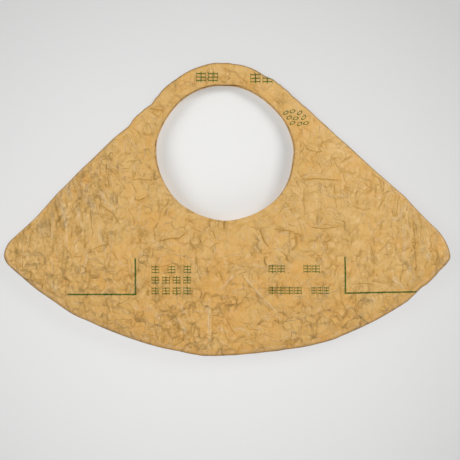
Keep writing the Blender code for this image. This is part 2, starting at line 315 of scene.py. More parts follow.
# sum of the creases: each as high as its height on its path, falling off evenly beside it and towards its ends. Also
# the signed distance in millimetres to the strongest crease near each point, and its height there, which the paper's
# material draws as a sharp fold
def creaseWave(x, z, table):
    wave, side, force = np.zeros(x.size), np.zeros(x.size), np.zeros(x.size)
    px, pz, reach = x.reshape(-1) * 1000.0, z.reshape(-1) * 1000.0, foldReach
    for height, width, *places in table:
        path = np.array(places, float)
        border = max(5 * width, reach)
        (lowX, lowZ), (highX, highZ) = path.min(axis=0) - border, path.max(axis=0) + border
        near = np.nonzero((px > lowX) & (px < highX) & (pz > lowZ) & (pz < highZ))[0]
        steps = np.maximum(np.hypot(*np.diff(path, axis=0).T), 0.1)
        done = np.concatenate([[0.0], np.cumsum(steps)])
        best, where, hand = np.full(near.size, 1e6), np.zeros(near.size), np.ones(near.size)
        for (x0, z0), (x1, z1), step, before in zip(path[:-1], path[1:], steps, done[:-1]):
            share = np.clip(((px[near] - x0) * (x1 - x0) + (pz[near] - z0) * (z1 - z0)) / step**2, 0, 1)
            away = (px[near] - x0 - share * (x1 - x0)) ** 2 + (pz[near] - z0 - share * (z1 - z0)) ** 2
            where = np.where(away < best, (before + share * step) / done[-1], where)
            cross = (x1 - x0) * (pz[near] - z0) - (z1 - z0) * (px[near] - x0)
            hand = np.where(away < best, np.where(cross < 0, -1.0, 1.0), hand)
            best = np.minimum(best, away)
        fade = np.clip(np.minimum(where, 1 - where) * 4 + 0.1, 0, 1)
        rounding = 0.3 * width
        away = np.sqrt(best + rounding**2) - rounding
        wave[near] += 0.001 * height * fade * np.exp(-away / width)
        away = np.sqrt(best)
        pull = height * fade * (1 - ease(away, 0.45 * reach, reach))
        kept = np.abs(pull) > np.abs(force[near])
        side[near[kept]], force[near[kept]] = (away * hand)[kept], pull[kept]
    return wave.reshape(x.shape), side.reshape(x.shape), force.reshape(x.shape)


strewn = {
    "count": 1700,
    "low": (-275, -340),  # they start between these places, across and up in millimetres
    "high": (285, 25),
    "length": 18.0,  # middle length, width and height in millimetres
    "width": 1.7,
    "height": 1.0,
    "seed": 5,
    "lengthSpread": 0.45,  # spread of the length's logarithm
    "steps": 3,
    "bend": 12,  # spread in degrees of the turn at each step, and of its chance part
    "waver": 10,
    "least": 0.35,  # smallest size, where 1 is the largest
    "ridges": 0.6,  # share that are ridges
    "thin": 0.55,  # share of the width that each has, and how much more with its size
    "thicker": 0.75,
    "zoneSpread": 0.6,  # a zone's own creases spread over this share of its reach
    "zonePull": 1.4,  # chance that a crease at a zone's middle runs its way; over 1 is always
    # zones: middle and reach across and up, the way that wrinkles run there and its spread in degrees, how much longer
    # they are, and how many more there are
    "zones": [
        (-190, -165, 70, 75, 100, 7, 1.8, 230),
        (240, -195, 32, 60, 85, 9, 1.5, 90),
        (110, -150, 60, 45, 135, 25, 1.3, 60),
        (-75, -290, 60, 45, 125, 25, 1.2, 60),
        (60, -300, 70, 30, 150, 30, 1.2, 60),
    ],
}


# the short creases between the charted ones, strewn by chance: each runs the way of the zone it lies in, or any way
# outside them, and bends a little at each step; each zone has some more round its middle
def strewnCreases(seed):
    rand = np.random.RandomState(seed)
    places = [rand.uniform(strewn["low"], strewn["high"]) for _ in range(strewn["count"])]
    for across, up, wide, tall, *_, more in strewn["zones"]:
        spread = (strewn["zoneSpread"] * wide, strewn["zoneSpread"] * tall)
        places += [rand.normal((across, up), spread) for _ in range(more)]
    table = []
    for x, z in places:
        run, length = rand.uniform(0, 180), strewn["length"]
        for across, up, wide, tall, way, spread, longer, _ in strewn["zones"]:
            pull = math.exp(-(((x - across) / wide) ** 2) - ((z - up) / tall) ** 2)
            if rand.uniform() < strewn["zonePull"] * pull:
                run, length = rand.normal(way, spread), length * longer
        length *= rand.lognormal(0.0, strewn["lengthSpread"])
        turn, bend = math.radians(run), math.radians(rand.normal(0, strewn["bend"]))
        path = [(x, z)]
        for _ in range(strewn["steps"]):
            x, z = x + length / strewn["steps"] * math.cos(turn), z + length / strewn["steps"] * math.sin(turn)
            path.append((x, z))
            turn += bend + math.radians(rand.normal(0, strewn["waver"]))
        size = rand.uniform(strewn["least"], 1.0)
        sign = 1.0 if rand.uniform() < strewn["ridges"] else -1.0
        width = strewn["width"] * (strewn["thin"] + strewn["thicker"] * size)
        table.append((sign * size * strewn["height"], width, *path))
    return table


# the two panels: belly is how far each bulges, charted its share of the charted creases
panels = {
    "frontPaper": {
        "node": "front_panel", "slot": "kraft_front", "towards": -1.0, "seed": 11,
        "belly": 0.0190, "charted": 1.0,
    },
    "backPaper": {
        "node": "back_panel", "slot": "kraft_back", "towards": 1.0, "seed": 37,
        "belly": 0.0130, "charted": -0.3,
    },
}

crumple = {
    "columns": 680,  # grid round the hole
    "rows": 104,  # and outward over the outer face
    "innerRows": 20,
    "roundRows": 6,  # rows in each rounded border
    "turnsTried": 2881,
    "evenTurn": 0.25,  # share of the columns' spacing that is even in turn
    "rough": 0.0004,  # small unevenness of both edges
    "large": 0.0045,  # height of the solids' facets, and the range of them that is kept
    "largeRange": (-0.6, 1.4),
    "medium": (0.0009, 0.028, 0.02),  # height, cell, and softness of the borders between sites
    "small": (0.0008, 0.0135, 0.015),
    "busy": (0.75, 0.6, 0.045),  # strength of the small facets: its middle, swing and cell
    "busyRange": (0.15, 1.3),
    "upright": (0.0007, 0.0085, 0.03),  # upright wrinkles beside the left fold
    "uprightPlace": (-0.185, -0.180),
    "uprightReach": (0.070, 0.065),
    "uprightLean": 0.16,
    "uprightDraw": 0.30,  # share to which they are drawn out upward
    "shakes": [(0.005, 0.024), (0.0018, 0.009)],  # how far the facets are shaken, over which cell
    "fineShakes": [(0.0012, 0.008)],
    "strewn": 0.24,
    "chartedFold": 1.2,  # strength of the charted creases' sharp folds
    "chartedFrom": (0.006, -0.182),  # they are charted as seen from here, across and up, and from this far away
    "chartedAway": 0.8,
    "proud": 0.0004,
    "floor": 0.0030,
    "edgeFade": 0.006,  # the relief fades out towards the edge, and partly towards the hole between these distances
    "rimFade": (0.002, 0.012, 0.35),
    "foldEdgeFade": (0.001, 0.006),
    "foldRimFade": (0.002, 0.010, 0.4),
    "edgeRound": 0.0018,
    "edgeRoll": 0.0005,
    "rollWidth": 0.0085,
    "ringRoll": 0.4,  # how much less the ring's edge rolls
    "hemRaise": 0.0003,
    "hemInset": 0.0012,  # the hem's groove lies this far inside its width
    "hemOver": 0.0004,
    "hemGroove": 0.0003,
    "grooveWidth": 0.0007,
    "pucker": 0.00035,
    "puckerTurn": 0.003,  # metres that a degree counts as
    "puckerDraw": 0.25,
    "puckerCells": (0.0105, 0.0047),
    "puckerFine": 0.6,
    "rimPucker": 0.009,  # how far the puckers reach from the hole and from the edge
    "edgePucker": 0.008,
    "leastGap": 0.0005,
    "sinkSpread": 3,
}

belly = {
    "ringFrom": -6.0,  # degrees past the mouth's end between which the ring turns into the body
    "ringTo": 34.0,
    "bodyFrom": -0.2,  # shares of bellyEase between which the lip turns into the body
    "bodyTo": 1.6,
    "lipEase": 0.5,
    "ringStiff": 0.7,
    "least": 0.35,  # share of the smooth depth that the crumple leaves
}

shadeMarking = {
    "blurs": 10,
    "creaseGain": 2500.0,  # turns metres of relief to the crease mark, which drives the painted highlight and painted shade
    "rim": 0.0022,  # widths in metres of the painted shade beside the hole and along the edge
    "edge": 0.0015,
    "downRate": 1.6,  # painted shade on the rolled edge where it faces down: rate and start
    "downFrom": 0.2,
}


# turns of the columns: a share even in turn, the rest even along the edge
def columnTurns(count):
    turns = np.linspace(0, 360, crumple["turnsTried"])
    radii = edgeRadius(turns)
    x, z = radii * np.cos(np.radians(turns)), radii * np.sin(np.radians(turns))
    length = np.concatenate([[0], np.cumsum(np.hypot(np.diff(x), np.diff(z)))])
    share = crumple["evenTurn"] * turns / 360.0 + (1 - crumple["evenTurn"]) * length / length[-1]
    return np.interp(np.arange(count) / count, share, turns)


# bend that both panels share: a slow wave, with the tips coming forward by the square of across
def warpOf(x, z):
    across, down = x / bag["fanRadius"], z / bag["drop"]
    wave = bag["warpWave"] * np.sin(bag["warpAcross"] * across + bag["warpDown"] * down)
    return bag["warp"] * (wave - bag["warpTips"] * across**2)


# how far the inner face stands from the middle: the belly grows with the distance from the sewn edge, the lip opens
# round the hole, and the rings lie a little apart
def innerDepth(x, z, turns, lying, row):
    middle, half = 0.5 * (bag["mouthLeft"] + bag["mouthRight"]), 0.5 * (bag["mouthLeft"] - bag["mouthRight"])
    ring = 1 - ease(turnsApart(turns, middle), half + belly["ringFrom"], half + belly["ringTo"])
    bulge = row["belly"] * (1 - np.exp(-lying / bag["bellyEase"]))
    lip = np.hypot(x - holeCentre[0], z - holeCentre[1]) - bag["holeRadius"]
    body = ease(lip, belly["bodyFrom"] * bag["bellyEase"], belly["bodyTo"] * bag["bellyEase"])
    openLip = 0.5 * bag["lipGap"] * (1 - np.exp(-lying / (belly["lipEase"] * bag["bellyEase"])))
    depth = (1 - ring) * (bulge * body + openLip * (1 - body)) + ring * 0.5 * (bag["ringGap"] - bag["seamGap"])
    loose = ease(lying, 0.0, bag["bellyEase"]) * (1 - belly["ringStiff"] * ring)
    large = crumple["large"] * np.clip(largeFacets(x, z, row["seed"]), *crumple["largeRange"])
    height, cell, soft = crumple["medium"]
    medium = height * facets(x, z, cell, row["seed"] + 2, soft)
    shift = np.maximum(depth + (large + medium) * loose, belly["least"] * depth)
    return 0.5 * bag["seamGap"] + shift, ring


# a coordinate shaken by soft noises: the sum of each one's reach times its noise
def shaken(value, x, z, shakes, seed):
    for number, (far, cell) in enumerate(shakes):
        value = value + far * softNoise(x, z, cell, seed + number)
    return value


# least up to the first distance, 1 past the second, and eased between them
def fadedIn(distance, low, high, least):
    return least + (1 - least) * ease(distance, low, high)


# relief of the outer face's crumple, outward, with the fold distance and strength for the material: small facets,
# upright wrinkles, strewn creases and charted ones, which are looked up where they show from the front
def crumpleRelief(x, z, depth, row):
    seed = row["seed"]
    wx = shaken(x, x, z, crumple["shakes"], seed + 50)
    wz = shaken(z, x, z, crumple["shakes"], seed + 52)
    middle, swing, cell = crumple["busy"]
    busy = np.clip(middle + swing * softNoise(x, z, cell, seed + 60), *crumple["busyRange"])
    height, cell, soft = crumple["small"]
    relief = height * facets(wx, wz, cell, seed + 4, soft) * busy
    (placeX, placeZ), (wide, tall) = crumple["uprightPlace"], crumple["uprightReach"]
    left = np.exp(-(((x - placeX) / wide) ** 2) - ((z - placeZ) / tall) ** 2)
    turned, drawn = wx + crumple["uprightLean"] * z, wz * crumple["uprightDraw"]
    height, cell, soft = crumple["upright"]
    relief += height * left * facets(turned, drawn, cell, seed + 44, soft)
    fx = shaken(x, x, z, crumple["fineShakes"], seed + 54)
    fz = shaken(z, x, z, crumple["fineShakes"], seed + 55)
    wave, side, force = creaseWave(fx, fz, strewnCreases(strewn["seed"] + seed))
    relief += crumple["strewn"] * wave
    seen, (fromX, fromZ) = 1 / (1 - depth / crumple["chartedAway"]), crumple["chartedFrom"]
    wave, chartSide, chartForce = creaseWave(fromX + (x - fromX) * seen, fromZ + (z - fromZ) * seen, creases)
    relief += row["charted"] * wave
    chartForce = chartForce * row["charted"] * crumple["chartedFold"]
    stronger = np.abs(chartForce) > np.abs(force)
    return relief, np.where(stronger, chartSide, side), np.where(stronger, chartForce, force)


# the outer face's whole relief: its crumple held above a floor and faded towards both borders, and then the hem, the
# puckers and the rolled edge
def outerRelief(x, z, s, e, turns, ring, depth, row):
    relief, side, force = crumpleRelief(x, z, depth, row)
    floor, seed = crumple["floor"], row["seed"]
    relief = crumple["proud"] + np.where(relief < 0, -floor * np.tanh(-relief / floor), relief)
    relief *= ease(e, 0.0, crumple["edgeFade"]) * fadedIn(s, *crumple["rimFade"])
    hem = 1 - ease(s, bag["hemWidth"] - crumple["hemInset"], bag["hemWidth"] + crumple["hemOver"])
    relief += crumple["hemRaise"] * hem
    fromGroove = (s - bag["hemWidth"] + crumple["hemInset"]) / crumple["grooveWidth"]
    relief -= crumple["hemGroove"] * np.exp(-(fromGroove**2))
    coarse, fine = crumple["puckerCells"]
    along = turns * crumple["puckerTurn"]
    wave = softNoise(along, s * crumple["puckerDraw"], coarse, seed + 70)
    wave = wave + crumple["puckerFine"] * softNoise(along, s, fine, seed + 71)
    relief += crumple["pucker"] * wave * np.exp(-s / crumple["rimPucker"])
    roll = np.sin(math.pi * np.clip(e / crumple["rollWidth"], 0, 1)) ** 2
    relief += crumple["edgeRoll"] * roll * (1 - crumple["ringRoll"] * ring)
    relief += 0.5 * crumple["pucker"] * wave * np.exp(-e / crumple["edgePucker"])
    force = force * ease(e, *crumple["foldEdgeFade"]) * fadedIn(s, *crumple["foldRimFade"])
    return relief, side, force


# an object of this name and data, in the scene
def placed(name, data):
    obj = bpy.data.objects.new(name, data)
    bpy.context.scene.collection.objects.link(obj)
    return obj


# a mesh from a grid that is closed both ways, with its faces turned over if asked
def loopMesh(name, x, y, z, flipped):
    points = np.stack([x, y, z], axis=-1).reshape(-1, 3)
    index = np.arange(x.size).reshape(x.shape)
    below, ahead = np.roll(index, -1, axis=0), np.roll(index, -1, axis=1)
    corner = np.roll(below, -1, axis=1)
    faces = np.stack([index, below, corner, ahead], axis=-1).reshape(-1, 4)
    if flipped:
        faces = faces[:, ::-1]
    mesh = bpy.data.meshes.new(name)
    mesh.from_pydata(points.tolist(), [], faces.tolist())
    mesh.validate()
    mesh.shade_smooth()
    return mesh


# marks that the material reads: the relief less its blurred self, which drives painted highlight and painted shade, the
# outer face, painted shade as a dark line beside the hole and along the edge, and painted shade on the rolled edge
# where it faces down; each falls off with the distance over its width
def shadeMarks(s, e, turns, side, relief):
    blurred = relief.copy()
    for _ in range(shadeMarking["blurs"]):
        for axis in (1, 0):
            blurred = 0.5 * blurred + 0.25 * (np.roll(blurred, 1, axis=axis) + np.roll(blurred, -1, axis=axis))
    outside = np.where(side > 0, 1.0, 0.0) * np.ones_like(s)
    downward = np.clip(-np.sin(np.radians(turns)) * shadeMarking["downRate"] - shadeMarking["downFrom"], 0, 1)
    return {
        "crease": (relief - blurred) * outside * shadeMarking["creaseGain"],
        "outside": outside,
        "rimShade": np.exp(-s / shadeMarking["rim"]) * outside,
        "edgeShade": np.exp(-((e / shadeMarking["edge"]) ** 2)),
        "rolledShade": np.exp(-((e / crumple["rollWidth"]) ** 2)) * downward * outside,
    }


# a panel as a closed loop of rows carried round the hole: out over the outer face, back over the inner face. Both
# faces meet in round edges: their share of the wall follows a half circle at each end.
def panelMesh(name, row):
    turns = columnTurns(crumple["columns"])
    level = np.zeros_like(turns)
    inner = holeEdge(turns) + crumple["rough"] * softNoise(turns * 0.01, level, 0.13, row["seed"] + 90)
    outer = edgeRadius(turns) + crumple["rough"] * softNoise(turns * 0.01, level, 0.04, row["seed"] + 91)
    span = outer - inner
    rimRound, edgeRound = 0.5 * bag["hemWall"], crumple["edgeRound"]
    evenSpan = span - rimRound - edgeRound
    bend = 1 - np.cos(np.radians(np.linspace(0, 90, crumple["roundRows"] + 1)[:-1]))[:, None]
    rimRows, edgeRows = bend * rimRound * np.ones_like(span), span - edgeRound * bend
    outRows = rimRound + np.linspace(0, 1, crumple["rows"])[:, None] * evenSpan
    backRows = rimRound + np.linspace(1, 0, crumple["innerRows"])[:, None] * evenSpan
    s = np.concatenate([rimRows, outRows, edgeRows[::-1], edgeRows[1:], backRows, rimRows[:0:-1]])
    out = 2 * crumple["roundRows"] + crumple["rows"]
    side = np.where(np.arange(len(s)) < out, 1.0, -1.0)[:, None]
    e = span - s
    radius = inner + s
    x = holeCentre[0] + radius * np.cos(np.radians(turns))
    z = holeCentre[1] + radius * np.sin(np.radians(turns))
    allTurns = np.broadcast_to(turns, x.shape)
    depth, ring = innerDepth(x, z, allTurns, sewnDistance(x, z), row)
    hem = 1 - ease(s, bag["hemWidth"] - bag["hemStep"], bag["hemWidth"] + bag["hemStep"])
    wall = bag["wall"] + (bag["hemWall"] - bag["wall"]) * hem
    rim = np.sqrt(1 - (1 - np.clip(s / rimRound, 0, 1)) ** 2)
    edge = np.sqrt(1 - (1 - np.clip(e / edgeRound, 0, 1)) ** 2)
    outerParts = [part[:out] for part in (x, z, s, e, allTurns, ring, depth)]
    relief, foldSide, foldForce = outerRelief(*outerParts, row)
    relief = np.maximum(relief, 0.5 * bag["seamGap"] + crumple["leastGap"] - depth[:out] - wall[:out])
    # where the outer face sinks, the inner face below it sinks too, so that the wall keeps its thickness
    lowest = np.minimum(relief, 0)
    for axis in (0, 1):
        for _ in range(crumple["sinkSpread"]):
            lowest = np.minimum(lowest, np.minimum(np.roll(lowest, 1, axis), np.roll(lowest, -1, axis)))
    under = crumple["roundRows"] + np.clip((s[out:] - rimRound) / evenSpan, 0, 1) * (crumple["rows"] - 1)
    sunk = lowest[under.astype(int), np.arange(crumple["columns"])]
    depth[out:] = np.maximum(depth[out:] + sunk * rim[out:] * edge[out:], np.minimum(depth[out:], 0.5 * bag["seamGap"]))
    depth = depth + wall * (0.5 + 0.5 * side * rim * edge)
    relief = np.concatenate([relief * rim[:out] * edge[:out], np.zeros_like(depth[out:])])
    y = row["towards"] * (depth + relief) + warpOf(x, z)
    mesh = loopMesh(name, x, y, z, row["towards"] > 0)
    marks = shadeMarks(s, e, turns, side, relief)
    marks["foldSide"] = np.concatenate([foldSide, np.full_like(depth[out:], farFold)])
    marks["foldForce"] = np.concatenate([foldForce, np.zeros_like(depth[out:])])
    for key, values in marks.items():
        layer = mesh.attributes.new(key, "FLOAT", "POINT")
        layer.data.foreach_set("value", values.reshape(-1).astype(np.float32))
    return placed(name, mesh)


# a new shader group with inputs and outputs by name: Vector is a vector, every other one a number
def newGroup(name, inputs, outputs):
    tree = bpy.data.node_groups.new(name, "ShaderNodeTree")
    for way, labels in (("INPUT", inputs), ("OUTPUT", outputs)):
        for label in labels:
            kind = "NodeSocketVector" if label == "Vector" else "NodeSocketFloat"
            tree.interface.new_socket(name=label, in_out=way, socket_type=kind)
    return tree, tree.nodes.new("NodeGroupInput").outputs, tree.nodes.new("NodeGroupOutput").inputs


# links an output to an input of the same tree
def link(source, socket):
    source.id_data.links.new(source, socket)


# a new node in the tree of the outputs among the values; each value sets or links the socket in its turn, and the
# other settings are given by name
def newNode(kind, values, sockets=None, **settings):
    tree = next(value.id_data for value in values if isinstance(value, bpy.types.NodeSocket))
    node = tree.nodes.new(kind)
    for key, value in settings.items():
        setattr(node, key, value)
    for key, value in zip(sockets or range(len(values)), values):
        if isinstance(value, bpy.types.NodeSocket):
            link(value, node.inputs[key])
        else:
            node.inputs[key].default_value = value
    return node


# a shader group's outputs, with its inputs linked by name
def groupNode(group, **sources):
    return newNode("ShaderNodeGroup", list(sources.values()), list(sources), node_tree=group).outputs


# a math node's result
def mathNode(operation, *values):
    return newNode("ShaderNodeMath", values, operation=operation).outputs[0]


# the first value plus, less or times the second
plus, minus, times = (partial(mathNode, name) for name in ("ADD", "SUBTRACT", "MULTIPLY"))


# sum of both squares
def squares(first, second):
    return plus(times(first, first), times(second, second))


# a vector's X, Y and Z
def axesOf(vector):
    return newNode("ShaderNodeSeparateXYZ", [vector]).outputs


# a vector scaled and then moved
def mapped(vector, scale=(1, 1, 1), place=(0, 0, 0)):
    return newNode("ShaderNodeMapping", [vector, scale, place], ["Vector", "Scale", "Location"]).outputs["Vector"]


# a noise texture read at a vector, or that far from it
def noiseNode(vector, scale, detail=2.0, rough=0.5, place=None, output="Fac"):
    values = [mapped(vector, place=place) if place else vector, scale, detail, rough]
    return newNode("ShaderNodeTexNoise", values, ["Vector", "Scale", "Detail", "Roughness"]).outputs[output]


# the distance that a Voronoi texture gives for a feature, with cells of size 1
def voronoiNode(vector, feature):
    node = newNode("ShaderNodeTexVoronoi", [vector, 1.0], ["Vector", "Scale"], feature=feature)
    return node.outputs["Distance"]


# a value remapped from one range to another, clamped
def ranged(value, low, high, outLow=0.0, outHigh=1.0):
    sockets = ["Value", "From Min", "From Max", "To Min", "To Max"]
    return newNode("ShaderNodeMapRange", [value, low, high, outLow, outHigh], sockets).outputs["Result"]


# colour mix by a factor
def mixed(factor, first, second, blend="MIX"):
    values = [(*value, 1.0) if isinstance(value, tuple) else value for value in (factor, first, second)]
    return newNode("ShaderNodeMix", values, [0, 6, 7], data_type="RGBA", blend_type=blend).outputs[2]


# a ranged value is given as from low, from high, to low, to high
felted = {
    "noises": {  # scale, detail, roughness, and how far away each is read
        "broad": (26.0, 3.0, 0.55),
        "patch": (75.0, 3.0, 0.6, (3.1, 0.0, 1.7)),
        "speck": (900.0, 2.0, 0.6),
        "warm": (38.0, 2.0, 0.5, (0.4, 0.0, 5.2)),
        "busy": (42.0, 2.0, 0.5, (1.3, 0.0, 0.6)),
        "broken": (95.0, 2.0, 0.5, (2.2, 0.0, 4.1)),
    },
    "broad": 0.55,  # shares in the tone
    "patch": 0.45,
    "speck": 0.12,
    "fibre": (1500.0, 2.0, 0.6),  # noise of the fibres, their height, and how far they are drawn out upward
    "fibreHeight": 0.00004,
    "fibreDrawn": 0.45,
    "shakeScale": 120.0,
    "shake": 0.005,
    "busy": (0.36, 0.62, 0.35, 1.5),  # strength of the facets: by its noise, across and up
    "busyAcross": (-0.20, 0.13, 1.24, 0.84),
    "busyUp": (-0.31, -0.14, 1.70, 1.05),
    "facets": [  # cell in metres, slope, and how far the cells are drawn out upward (under 1)
        (0.0160, 0.150, 0.75),
        (0.0088, 0.185, 1.0),
        (0.0085, 0.160, 0.33),
    ],
    "nets": (0.0, 7.3),  # where the two nets of each size are read
    "netDrop": 40,
    "depthScale": 0.2,
    "line": 0.0006,  # half width of the broken line of painted shade drawn on some of the folds
    "broken": (0.46, 0.62),
}


# paper: mottled tone from two slow noises and a speck, and a height of felted fibres with small flat facets, each the
# squared distance to one net's nearest site less that to another's; line is 1 on some of the folds between them
def paperGroup():
    tree, source, sink = newGroup("feltedPaper", ["Vector"], ["Tone", "Warmth", "Line", "Height"])
    vector = source["Vector"]
    noise = {key: noiseNode(vector, *row) for key, row in felted["noises"].items()}
    tone = plus(times(noise["broad"], felted["broad"]), times(noise["patch"], felted["patch"]))
    tone = plus(tone, times(minus(noise["speck"], 0.5), felted["speck"]))
    fibre = noiseNode(mapped(vector, scale=(1.0, 1.0, felted["fibreDrawn"])), *felted["fibre"])
    shake = noiseNode(vector, felted["shakeScale"], output="Color")
    values = [shake, (felted["shake"],) * 3, vector]
    moved = newNode("ShaderNodeVectorMath", values, operation="MULTIPLY_ADD").outputs[0]
    axes = axesOf(vector)
    busy = ranged(noise["busy"], *felted["busy"])
    busy = times(busy, ranged(axes["Z"], *felted["busyUp"]))
    busy = times(busy, ranged(axes["X"], *felted["busyAcross"]))
    height, line = times(fibre, felted["fibreHeight"]), None
    for cell, slope, drawnOut in felted["facets"]:
        scale = (1 / cell, felted["depthScale"] / cell, drawnOut / cell)
        level = None
        for net in felted["nets"]:
            spot = mapped(moved, scale, (net, 0.0, felted["netDrop"] * cell))
            nearest = voronoiNode(spot, "F1")
            square = times(nearest, nearest)
            level = square if level is None else minus(level, square)
        toEdge = voronoiNode(spot, "DISTANCE_TO_EDGE")
        drawn = ranged(toEdge, 0.0, felted["line"] / cell, 1.0, 0.0)
        line = drawn if line is None else mathNode("MAXIMUM", line, drawn)
        height = plus(height, times(times(level, slope * cell), busy))
    line = times(line, ranged(noise["broken"], *felted["broken"]))
    for label, value in (("Tone", tone), ("Warmth", noise["warm"]), ("Line", line), ("Height", height)):
        link(value, sink[label])
    return tree


creaseShadingRanges = {"ridge": (0.15, 1.4), "furrow": (-0.15, -1.6)}


# painted crease shading: a painted highlight makes ridges a little paler, painted shade makes furrows a little darker
def creaseShadingGroup():
    tree, source, sink = newGroup("creaseShading", ["Crease"], ["Ridge", "Furrow"])
    link(ranged(source["Crease"], *creaseShadingRanges["ridge"]), sink["Ridge"])
    link(ranged(source["Crease"], *creaseShadingRanges["furrow"]), sink["Furrow"])
    return tree


folded = {
    "width": 1.25,  # half width of a sharp fold and how far it wavers, in millimetres
    "waver": 1.2,
    "waverScale": 210.0,
    "height": 0.00070,  # in metres
    "ridge": (0.05, 0.9),
    "furrow": (-0.05, -0.9),
}


# sharp folds: the squared tent of the distance to the fold, times its height; above 0 is a ridge, below 0 a furrow.
# Ridge and Furrow are masks for a painted highlight on the ridge and painted shade in the furrow
def foldGroup():
    tree, source, sink = newGroup("sharpFolds", ["Vector", "Side", "Force"], ["Ridge", "Furrow", "Height"])
    waver = minus(noiseNode(source["Vector"], folded["waverScale"]), 0.5)
    side = mathNode("MULTIPLY_ADD", waver, folded["waver"], source["Side"])
    tent = ranged(mathNode("ABSOLUTE", side), 0.0, folded["width"], 1.0, 0.0)
    signed = times(times(tent, tent), source["Force"])
    link(times(signed, folded["height"]), sink["Height"])
    link(ranged(signed, *folded["ridge"]), sink["Ridge"])
    link(ranged(signed, *folded["furrow"]), sink["Furrow"])
    return tree


# the print is ruled corners, rows of hatched squares and a small sprinkle of leaning ovals; all in millimetres from
# the hang point, across and up
printed = {
    "shakeScale": 160.0,
    "shake": 0.7,
    "boxSoft": 0.12,
    "squareSoft": 0.15,
    "thinnest": 0.030,  # a hatch line's half width where it is full and where it ends, as shares of the square
    "widest": 0.070,
    "wornNoise": (420.0, 3.0, 0.65),
    "worn": (0.30, 0.50, 0.72, 1.0),
}

ruledCorners = {
    "line": 2.0,
    "rows": [  # upright line's across, its top and foot, and where the level line ends
        (-109.7, -217.8, -261.2, -193.7),
        (147.0, -216.0, -259.2, 238.7),
    ],
}

hatchRows = [  # the first square's middle across and up, its width and height, the pitch and the number of squares
    (-85.2, -230.7, 9.2, 10.2, 19.6, 3),
    (-85.3, -243.8, 9.2, 10.2, 13.0, 4),
    (-85.4, -257.0, 9.2, 10.2, 13.0, 4),
    (58.2, -229.6, 9.3, 10.3, 10.3, 2),
    (100.6, -229.6, 9.3, 10.3, 10.3, 2),
    (58.3, -256.3, 9.3, 9.8, 10.3, 4),
    (108.8, -256.1, 6.2, 9.8, 7.6, 3),
    (-29.8, 8.2, 12.4, 13.0, 14.9, 2),
    (37.8, 7.2, 12.4, 13.0, 15.2, 2),
]

ovals = {
    "long": 3.1,
    "wide": 1.7,
    "line": 0.75,
    "inSoft": 0.1,
    "outSoft": 0.15,
    "rows": [  # across, up, lean in degrees
        (76, -36, 35), (84, -34, 20), (93, -36, 40), (80, -42, 30), (88, -43, 15),
        (98, -42, 45), (84, -49, 25), (93, -50, 35), (101, -49, 20),
    ],
}


# 1 inside a box given by its middle and half sizes, with soft borders: low where either distance is over the half
def boxMask(across, up, x, z, halfX, halfZ):
    dx = minus(mathNode("ABSOLUTE", minus(across, x)), halfX)
    dz = minus(mathNode("ABSOLUTE", minus(up, z)), halfZ)
    return ranged(mathNode("MAXIMUM", dx, dz), -printed["boxSoft"], printed["boxSoft"], 1.0, 0.0)


# the lines of a hatch: 1 within a share of the square's size from each of evenly spaced places
def hatchLines(value, middle, size, half):
    line = mathNode("PINGPONG", minus(value, middle), half)
    return ranged(line, printed["thinnest"] * size, printed["widest"] * size, 1.0, 0.0)


# a row of hatched squares: inside the row's box, inside each square of the pitch, and on a bar or a post
def hatchMask(across, up, row):
    x, z, wide, tall, pitch, count = row
    width, left = pitch * (count - 1) + wide, x - 0.5 * wide
    area = boxMask(across, up, left + 0.5 * width, z, 0.5 * width, 0.5 * tall)
    cell = mathNode("MODULO", plus(minus(across, left), 10 * pitch), pitch)
    soft = printed["squareSoft"]
    square = ranged(minus(cell, wide), -soft, soft, 1.0, 0.0)
    bars = hatchLines(up, z, tall, tall / 6)
    posts = hatchLines(cell, 0.5 * wide, wide, wide / 4)
    return times(times(area, square), mathNode("MAXIMUM", bars, posts))


# a leaning oval's line: a ring of the width after its long way is shrunk to it
def ovalMask(across, up, row):
    x, z, lean = row
    dx, dz = minus(across, x), minus(up, z)
    cosine, sine = math.cos(math.radians(lean)), math.sin(math.radians(lean))
    along = plus(times(dx, cosine), times(dz, sine))
    aside = minus(times(dz, cosine), times(dx, sine))
    along = mathNode("DIVIDE", along, ovals["long"] / ovals["wide"])
    reach = mathNode("SQRT", squares(along, aside))
    line, half = mathNode("ABSOLUTE", minus(reach, ovals["wide"])), 0.5 * ovals["line"]
    return ranged(line, half - ovals["inSoft"], half + ovals["outSoft"], 1.0, 0.0)


# the printed ink's mask, from Object coordinates turned to millimetres and shaken a little
def printGroup():
    tree, source, sink = newGroup("sackPrint", ["Vector"], ["Ink"])
    axes = axesOf(source["Vector"])
    shake = minus(noiseNode(source["Vector"], printed["shakeScale"]), 0.5)
    across = mathNode("MULTIPLY_ADD", axes["X"], 1000.0, times(shake, printed["shake"]))
    up = mathNode("MULTIPLY_ADD", axes["Z"], 1000.0, times(shake, -printed["shake"]))
    masks = []
    half = 0.5 * ruledCorners["line"]
    for x, top, foot, end in ruledCorners["rows"]:
        middle = 0.5 * (top + foot)
        masks.append(boxMask(across, up, x, middle, half, middle - foot + half))
        middle = 0.5 * (x + end)
        masks.append(boxMask(across, up, middle, foot, abs(middle - end), half))
    masks += [hatchMask(across, up, row) for row in hatchRows]
    masks += [ovalMask(across, up, row) for row in ovals["rows"]]
    total = masks[0]
    for mask in masks[1:]:
        total = mathNode("MAXIMUM", total, mask)
    worn = ranged(noiseNode(source["Vector"], *printed["wornNoise"]), *printed["worn"])
    link(times(total, worn), sink["Ink"])
    return tree


